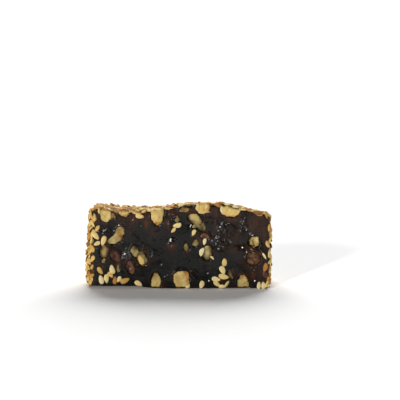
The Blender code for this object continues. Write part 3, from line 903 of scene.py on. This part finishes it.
def seed_form():
    """A seed's points as shares of its length, width and thickness, its faces, each point's share of the way
    from its round end to its pointed one, and how near each point is to its rim."""
    points = [(-0.5, 0.0, 0.0)]
    rims = [1.0]
    for ring in range(1, SEED_RINGS):
        way = ring / SEED_RINGS
        along = -0.5 * math.cos(math.pi * way)
        swell = math.sin(math.pi * way) * (1.1 - 0.5 * (along + 0.5) - 0.25 * max(0.0, along) ** 2)
        for side in range(SEED_SIDES):
            turn = math.tau * side / SEED_SIDES
            across = 0.5 * swell * math.cos(turn)
            up = 0.5 * swell * math.copysign(abs(math.sin(turn)) ** 1.25, math.sin(turn))
            hollow = 1.0 - SEED_HOLLOW * (1.0 - abs(math.cos(turn)))
            points.append((along, across, up * hollow))
            rims.append(abs(math.cos(turn)))
    points.append((0.5, 0.0, 0.0))
    rims.append(1.0)
    last = len(points) - 1
    faces = []
    for side in range(SEED_SIDES):
        after = (side + 1) % SEED_SIDES
        faces.append((0, 1 + after, 1 + side))
        first = 1 + (SEED_RINGS - 2) * SEED_SIDES
        faces.append((last, first + side, first + after))
        for ring in range(SEED_RINGS - 2):
            low = 1 + ring * SEED_SIDES
            high = low + SEED_SIDES
            faces.append((low + side, low + after, high + after, high + side))
    points = np.array(points)
    return points, faces, points[:, 0] + 0.5, np.array(rims)


class Laid(NamedTuple):
    """One seed in its place."""

    middle: Vector
    turn: Matrix  # of 3 by 3: its columns are its length, width and thickness
    size: float
    tone: float


def upright(normal, turn, lean, pitch):
    """The turn of a seed on a surface, with its lean about its length and its pitch about its width."""
    turned = normal.to_track_quat("Z", "Y").to_matrix()
    for angle, axis in ((turn, "Z"), (lean, "X"), (pitch, "Y")):
        turned = turned @ Matrix.Rotation(angle, 3, axis)
    return turned


class Crowd:
    """The seeds laid so far, which a new one keeps its distance from."""

    def __init__(self):
        self.ends = np.empty((0, 2, 3))

    def nearest(self, middle, way):
        """About how far the seed with its middle there and its length that way is from the others."""
        if not len(self.ends):
            return math.inf
        half = (SEED_LENGTH - SEED_WIDTH) / 2
        own = np.array([middle - way * half * s for s in (-1.0, -0.33, 0.33, 1.0)])
        starts = self.ends[:, 0]
        runs = self.ends[:, 1] - starts
        gaps = own[:, None, :] - starts[None]
        share = np.clip((gaps * runs).sum(2) / (runs * runs).sum(1), 0.0, 1.0)
        return np.linalg.norm(gaps - share[..., None] * runs, axis=2).min()

    def add(self, middle, way):
        """Takes in a seed."""
        half = (SEED_LENGTH - SEED_WIDTH) / 2
        ends = np.array([[middle - way * half, middle + way * half]])
        self.ends = np.concatenate((self.ends, ends))


def coat_start(dice):
    """A place outside the slice and the way from it to a coated side."""
    far = LENGTH
    side = dice.choices(list(SIDE_WEIGHTS), SIDE_WEIGHTS.values())[0]
    x = dice.uniform(-0.54, 0.53) * LENGTH
    y = dice.uniform(-0.5, 0.5) * THICKNESS
    z = dice.uniform(0.03, 1.02) * HEIGHT
    if side == "top":
        return Vector((x, y, far)), Vector((0, 0, -1))
    if side == "base":
        return Vector((x, y, -far)), Vector((0, 0, 1))
    if side == "left":
        return Vector((-far, y, z)), Vector((1, 0, 0))
    return Vector((far, y, z)), Vector((-1, 0, 0))


class Layer(NamedTuple):
    """A layer of the coat."""

    tries: int
    spacing: float  # the least, between the middle lines of two seeds
    rise: float  # of the seeds' middles, over the form
    lean: float  # radians, as a spread
    share: float  # of the tries that count


COAT_LAYERS = (
    Layer(12000, 0.78 * SEED_WIDTH, -0.1 * MM, 0.3, 1.0),
    Layer(4000, 0.92 * SEED_WIDTH, 0.3 * MM, 0.35, 0.8),
)


def is_bare(middle, normal, walnut, layer):
    """Whether a place gets no seed: on a cut face, the front of the base, a foot or beside walnut."""
    if abs(normal.y) > 0.8:
        return True
    front_bare = BASE_SEEDS_START if middle.x - FACE_X > LIFT_START else LIFTED_SEEDS_START
    if normal.z < -0.5 and (layer.rise > 0 or middle.y < front_bare - THICKNESS / 2):
        return True
    if abs(normal.x) > 0.3 and middle.z < foot_height(middle.x - FACE_X, middle.y) + SEED_WIDTH / 2:
        return True
    near_cut = THICKNESS / 2 - abs(middle.y) < WALNUT_BARE
    return near_cut and walnut.find_nearest(middle, WALNUT_GAP)[0] is not None


def is_hooded(middle):
    """Whether candy covers a place of the top's front edge."""
    return HOOD_START < middle.x - FACE_X < HOOD_END and middle.y < HOOD_DEPTH - THICKNESS / 2


def coat_seeds(form, walnut, dice):
    """Two layers of seeds on the top, the base and the ends."""
    seeds = []
    for layer in COAT_LAYERS:
        crowd = Crowd()
        for _ in range(layer.tries):
            start, way = coat_start(dice)
            turn = dice.uniform(0, math.tau)
            lean = dice.gauss(0, layer.lean)
            pitch = dice.gauss(0, SEED_PITCH)
            size = dice.gauss(1.0, 0.07)
            tone = dice.random()
            keep = dice.random() < layer.share
            middle, normal, _, _ = form.ray_cast(start, way)
            if middle is None or not keep or is_bare(middle, normal, walnut, layer):
                continue
            if normal.x > 0.5:
                left_out = RIGHT_BARE_SHARE if middle.y < RIGHT_BARE - THICKNESS / 2 else RIGHT_THIN_SHARE
                if tone < left_out:
                    continue
                tone = (tone - left_out) / (1.0 - left_out)
            palest = SIDE_PALEST
            if normal.z > 0.5:
                palest = TOP_PALEST
                raised = walnut.ray_cast(start, way)[0]
                if raised is not None and raised.z > middle.z:
                    middle.z = raised.z
                tone = max(tone, TOAST_SHARE * float(smoothstep(TOAST_END, TOAST_START, middle.x)))
            tone = 1.0 if dice.random() < DARK_SEEDS else palest + (DARKEST - palest) * tone**1.6
            if normal.z < -0.5:
                lean = lean * 0.2
                pitch = 0.0
            turned = upright(normal, turn, lean, pitch)
            middle = middle + normal * layer.rise
            if not is_hooded(middle) and crowd.nearest(middle, turned.col[0]) > layer.spacing:
                crowd.add(middle, turned.col[0])
                seeds.append(Laid(middle, turned, size, tone))
    return seeds


def lay(surface, start, way, normal, seed, pitch):
    """A seed of the lists, where the way from the start meets the surface."""
    middle = surface.ray_cast(start, way)[0]
    turned = upright(normal, math.radians(seed.turn), math.radians(seed.lean), pitch)
    return Laid(middle + normal * (SEED_RISE + seed.lift) * MM, turned, seed.size, seed.tone)


def stray_seeds(surface, dice):
    """The seeds carried onto the front cut face."""
    normal = Vector((0, -1, 0.05)).normalized()
    seeds = []
    for seed in STRAYS:
        start = Vector((FACE_X + seed.x * MM, -LENGTH, seed.z * MM))
        seeds.append(lay(surface, start, Vector((0, 1, 0)), normal, seed, dice.gauss(0, STRAY_PITCH)))
    return seeds


def edge_seeds(surface):
    """The pale seeds along the front edge of the top."""
    normal = Vector((0, -0.3, 1)).normalized()
    seeds = []
    for seed in EDGE_SEEDS:
        start = Vector((FACE_X + seed.x * MM, seed.z * MM - THICKNESS / 2, LENGTH))
        seeds.append(lay(surface, start, Vector((0, 0, -1)), normal, seed, 0.0))
    return seeds


def back_seeds(surface, walnut, dice):
    """Seeds here and there on the back cut face, more of them near its edges."""
    normal = Vector((0, 1, 0.03)).normalized()
    seeds = []
    crowd = Crowd()
    for _ in range(BACK_TRIES):
        x = dice.uniform(-0.49, 0.49)
        z = dice.uniform(0.04, 0.96)
        edge = max(abs(2 * x), abs(2 * z - 1.0)) ** 5
        turn = dice.uniform(0, math.tau)
        if dice.random() > 0.05 + 0.5 * edge:
            continue
        start = Vector((FACE_X + x * LENGTH, LENGTH, z * HEIGHT))
        middle = surface.ray_cast(start, Vector((0, -1, 0)))[0]
        if middle is None or walnut.find_nearest(middle, BACK_WALNUT_GAP)[0] is not None:
            continue
        turned = upright(normal, turn, dice.gauss(0, 0.15), dice.gauss(0, STRAY_PITCH))
        if crowd.nearest(middle, turned.col[0]) > SEED_WIDTH:
            crowd.add(middle, turned.col[0])
            middle = middle + normal * SEED_RISE * MM
            seeds.append(Laid(middle, turned, dice.gauss(0.98, 0.06), dice.uniform(0.1, 0.8)))
    return seeds


def build_seeds(name, seeds, material):
    """One mesh of many seeds, each a little different."""
    dice = np.random.default_rng(RANDOM_SEED)
    form, form_faces, way, rim = seed_form()
    corners = []
    faces = []
    tones = []
    for number, seed in enumerate(seeds):
        size = np.array((SEED_LENGTH, SEED_WIDTH, SEED_THICKNESS)) * seed.size * dice.normal(1.0, 0.04, 3)
        bent = form.copy()
        bent[:, 1] += dice.normal(0, 0.05) * (bent[:, 0] ** 2) * 4
        bent[:, 2] += dice.normal(0, 0.06) * (bent[:, 0] ** 2) * 4
        bent *= 1.0 + 0.025 * dice.standard_normal((len(bent), 1))
        turned = (bent * size) @ np.array(seed.turn).T + np.array(seed.middle)
        corners.append(turned)
        first = number * len(form)
        faces += [tuple(first + i for i in face) for face in form_faces]
        tones.append(np.full(len(form), seed.tone))
    corners = np.concatenate(corners)
    corners[:, 2] = np.maximum(corners[:, 2], 0.0)
    mesh = bpy.data.meshes.new(name)
    mesh.from_pydata(corners.tolist(), [], faces)
    paint(mesh, "tone", np.concatenate(tones))
    paint(mesh, "way", np.tile(way, len(seeds)))
    paint(mesh, "rim", np.tile(rim, len(seeds)))
    return place(name, mesh, material, "candy")


# Materials


def new_material(name, roughness, specular):
    """A Principled material, with its tree and its shader."""
    material = bpy.data.materials.new(name)
    material.use_nodes = True
    tree = material.node_tree
    shader = tree.nodes["Principled BSDF"]
    shader.inputs["Roughness"].default_value = roughness
    shader.inputs["Specular IOR Level"].default_value = specular
    return material, tree, shader


def add_node(tree, kind, **settings):
    """A node with some of its settings or inputs set. A setting's underscores stand for spaces in inputs."""
    node = tree.nodes.new(kind)
    for name, value in settings.items():
        label = name.replace("_", " ")
        if label in node.inputs:
            node.inputs[label].default_value = value
        else:
            setattr(node, name, value)
    return node


def object_noise(tree, scale, detail=3.0, stretch=(1, 1, 1)):
    """Noise over the object's own places. Scale is in features a metre."""
    places = tree.nodes.new("ShaderNodeTexCoord")
    mapping = add_node(tree, "ShaderNodeMapping", Scale=stretch)
    made = add_node(tree, "ShaderNodeTexNoise", Scale=scale, Detail=detail)
    tree.links.new(places.outputs["Object"], mapping.inputs["Vector"])
    tree.links.new(mapping.outputs["Vector"], made.inputs["Vector"])
    return made.outputs["Fac"]


def opaque(colour):
    """A colour, or a single number as a grey, with its opacity."""
    return (*colour, 1.0) if isinstance(colour, tuple) else (colour, colour, colour, 1.0)


def ramp(tree, source, *stops):
    """A colour or grey for each stop of a value."""
    made = tree.nodes.new("ShaderNodeValToRGB")
    elements = made.color_ramp.elements
    while len(elements) < len(stops):
        elements.new(0.5)
    for element, (position, colour) in zip(elements, stops):
        element.position = position
        element.color = opaque(colour)
    tree.links.new(source, made.inputs["Fac"])
    return made.outputs["Color"]


def mixed(tree, share, first, second, kind="MIX"):
    """Two colours or greys, mixed by a share."""
    made = tree.nodes.new("ShaderNodeMix")
    made.data_type = "RGBA"
    made.blend_type = kind
    for value, number in ((share, 0), (first, 6), (second, 7)):
        if isinstance(value, bpy.types.NodeSocket):
            tree.links.new(value, made.inputs[number])
        else:
            made.inputs[number].default_value = opaque(value) if number else value
    return made.outputs[2]


def attribute(tree, name):
    """A vertex value of the mesh."""
    return add_node(tree, "ShaderNodeAttribute", attribute_name=name).outputs["Fac"]


def bump(tree, shader, source, strength, distance):
    """Adds a bump to the shader."""
    made = add_node(tree, "ShaderNodeBump", Strength=strength, Distance=distance)
    tree.links.new(source, made.inputs["Height"])
    tree.links.new(made.outputs["Normal"], shader.inputs["Normal"])


def candy_material():
    """Nearly black syrup candy, browner where it is thin."""
    material, tree, shader = new_material("soft_candy", 0.2, CANDY_SHINE)
    dark = ramp(
        tree,
        object_noise(tree, 420, 4.0, (1, 1, 0.3)),
        (0.34, (0.0022, 0.0026, 0.0016)),
        (0.52, (0.0046, 0.0044, 0.0030)),
        (0.68, (0.0100, 0.0074, 0.0058)),
    )
    thin = ramp(
        tree,
        object_noise(tree, 600, 4.0, (1, 1, 0.4)),
        (0.34, (0.024, 0.0050, 0.0016)),
        (0.66, (0.080, 0.026, 0.0075)),
    )
    amber = ramp(tree, object_noise(tree, 500), (0.35, (0.03, 0.012, 0.005)), (0.65, (0.1, 0.042, 0.014)))
    colour = mixed(tree, attribute(tree, "brown"), dark, thin)
    colour = mixed(tree, attribute(tree, "coat"), colour, amber)
    tree.links.new(colour, shader.inputs["Base Color"])
    rough = ramp(tree, object_noise(tree, 260, 4.0, (1, 1, 0.5)), (0.36, 0.08), (0.64, 0.24))
    rough = mixed(tree, attribute(tree, "coat"), rough, MATT)
    rough = mixed(tree, attribute(tree, "facet"), rough, FACET_ROUGHNESS)
    tree.links.new(rough, shader.inputs["Roughness"])
    shine = ramp(tree, attribute(tree, "facet"), (0.0, CANDY_SHINE), (1.0, FACET_SHINE))
    tree.links.new(shine, shader.inputs["Specular IOR Level"])
    crinkled = mixed(tree, 1.0, object_noise(tree, 1300), attribute(tree, "crinkle"), "MULTIPLY")
    bump(tree, shader, crinkled, 0.9, 0.3 * MM)
    return material


def walnut_material():
    """Cream kernel with brown skin at its rim and in its folds, under more or less candy film."""
    material, tree, shader = new_material("walnut_kernel", 0.36, 0.14)
    flesh = ramp(
        tree,
        object_noise(tree, 520, 4.0),
        (0.3, (0.56, 0.37, 0.11)),
        (0.5, (0.68, 0.49, 0.17)),
        (0.72, (0.80, 0.63, 0.27)),
    )
    veiled = ramp(
        tree,
        object_noise(tree, 520, 4.0),
        (0.3, (0.57, 0.42, 0.135)),
        (0.7, (0.77, 0.62, 0.25)),
    )
    flesh = mixed(tree, ramp(tree, attribute(tree, "film"), (0.1, 0.0), (0.4, 1.0)), flesh, veiled)
    skin = ramp(tree, object_noise(tree, 900), (0.35, (0.32, 0.12, 0.022)), (0.65, (0.6, 0.29, 0.07)))
    kernel = mixed(tree, attribute(tree, "skin"), flesh, skin)
    red = ramp(
        tree,
        object_noise(tree, 800, 4.0),
        (0.34, (0.035, 0.012, 0.009)),
        (0.66, (0.130, 0.058, 0.038)),
    )
    film = mixed(tree, attribute(tree, "red"), (0.013, 0.011, 0.006), red)
    colour = mixed(tree, attribute(tree, "film"), kernel, film)
    tree.links.new(colour, shader.inputs["Base Color"])
    rough = ramp(tree, attribute(tree, "film"), (0.0, 0.5), (0.5, 0.2))
    rough = mixed(tree, attribute(tree, "matt"), rough, MATT)
    tree.links.new(rough, shader.inputs["Roughness"])
    bump(tree, shader, object_noise(tree, 1700, 4.0), 0.5, 0.1 * MM)
    return material


def sesame_material():
    """Hulled sesame, from ivory to toasted, darker at its pointed end."""
    material, tree, shader = new_material("sesame", 0.6, 0.06)
    body = ramp(
        tree,
        attribute(tree, "tone"),
        (0.0, (0.92, 0.84, 0.50)),
        (0.3, (0.83, 0.64, 0.27)),
        (0.6, (0.66, 0.41, 0.11)),
        (0.85, (0.46, 0.18, 0.04)),
        (1.0, (0.16, 0.065, 0.02)),
    )
    tip = ramp(tree, attribute(tree, "way"), (0.82, 0.0), (1.0, 0.6))
    mottle = ramp(tree, object_noise(tree, 1400), (0.35, 0.0), (0.75, 0.3))
    middle = ramp(tree, attribute(tree, "rim"), (0.1, 0.24), (0.8, 0.0))
    colour = mixed(tree, mottle, body, (0.56, 0.32, 0.08))
    colour = mixed(tree, middle, colour, (0.52, 0.33, 0.08))
    colour = mixed(tree, tip, colour, (0.30, 0.13, 0.035))
    tree.links.new(colour, shader.inputs["Base Color"])
    bump(tree, shader, object_noise(tree, 3200, 2.0), 0.2, 0.05 * MM)
    return material


# Stage


def turned_to(azimuth, elevation):
    """The turn of a light or camera at a bearing, so that it faces the slice."""
    return way_to(azimuth, elevation).to_track_quat("Z", "Y").to_euler()


def add_sun(name, bearing, angle, strength, colour=(1, 1, 1)):
    """A distant light, at a bearing. Angles are in degrees."""
    lamp = bpy.data.lights.new(name, "SUN")
    lamp.angle = math.radians(angle)
    lamp.energy = strength
    lamp.color = colour
    add_thing(name, lamp).rotation_euler = turned_to(*bearing)


def add_floor():
    """A plain white floor."""
    bm = bmesh.new()
    bmesh.ops.create_circle(bm, cap_ends=True, segments=64, radius=FLOOR_RADIUS)
    mesh = finished(bm, "floor")
    floor = add_thing("floor", mesh)
    material, _, shader = new_material("floor", 1.0, 0.0)
    shader.inputs["Base Color"].default_value = opaque(0.97)
    mesh.materials.append(material)


def add_lights():
    """A white sky for the camera and a dim one for the light, and two soft lights."""
    world = bpy.data.worlds.new("studio")
    world.use_nodes = True
    tree = world.node_tree
    background = tree.nodes["Background"]
    background.inputs["Color"].default_value = (0.95, 0.97, 1.0, 1.0)
    background.inputs["Strength"].default_value = SKY_LIGHT
    white = add_node(tree, "ShaderNodeBackground", Color=(1, 1, 1, 1), Strength=SKY_SEEN)
    path = tree.nodes.new("ShaderNodeLightPath")
    choice = tree.nodes.new("ShaderNodeMixShader")
    tree.links.new(path.outputs["Is Camera Ray"], choice.inputs[0])
    tree.links.new(background.outputs[0], choice.inputs[1])
    tree.links.new(white.outputs[0], choice.inputs[2])
    tree.links.new(choice.outputs[0], tree.nodes["World Output"].inputs["Surface"])
    bpy.context.scene.world = world

    add_sun("key", KEY_BEARING, angle=5, strength=2.0, colour=(1.0, 0.98, 0.95))
    add_sun("back", BACK_BEARING, angle=60, strength=5.0)
    bpy.context.scene.view_settings.view_transform = "Standard"


def add_camera():
    """The photograph's view: level with the slice and a little above it."""
    lens = bpy.data.cameras.new("camera")
    lens.lens = LENS
    lens.sensor_width = SENSOR
    lens.clip_start = 0.01
    camera = add_thing("camera", lens)
    camera.location = view_place()
    camera.rotation_euler = turned_to(0.0, VIEW_ELEVATION)
    bpy.context.scene.camera = camera


def main():
    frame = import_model()
    dice = random.Random(RANDOM_SEED)

    kernels = {name: node for name, node in frame["nodes"].items() if name.startswith("walnut_")}
    walnut = build_all_walnut(kernels, walnut_material())
    walnut_tree = search_tree([thing.data for thing in walnut])
    candy = build_candy(candy_material(), walnut_tree)
    surface = search_tree([candy.data] + [thing.data for thing in walnut])

    form = slice_mesh("form", SMOOTH_FACES)
    form_tree = search_tree([form])
    sesame = sesame_material()
    coat = coat_seeds(form_tree, walnut_tree, dice)
    strays = stray_seeds(surface, dice) + back_seeds(surface, walnut_tree, dice) + edge_seeds(surface)
    build_seeds("sesame_coat", coat, sesame)
    build_seeds("sesame_strays", strays, sesame)
    bpy.data.meshes.remove(form)

    add_floor()
    add_lights()
    add_camera()


main()
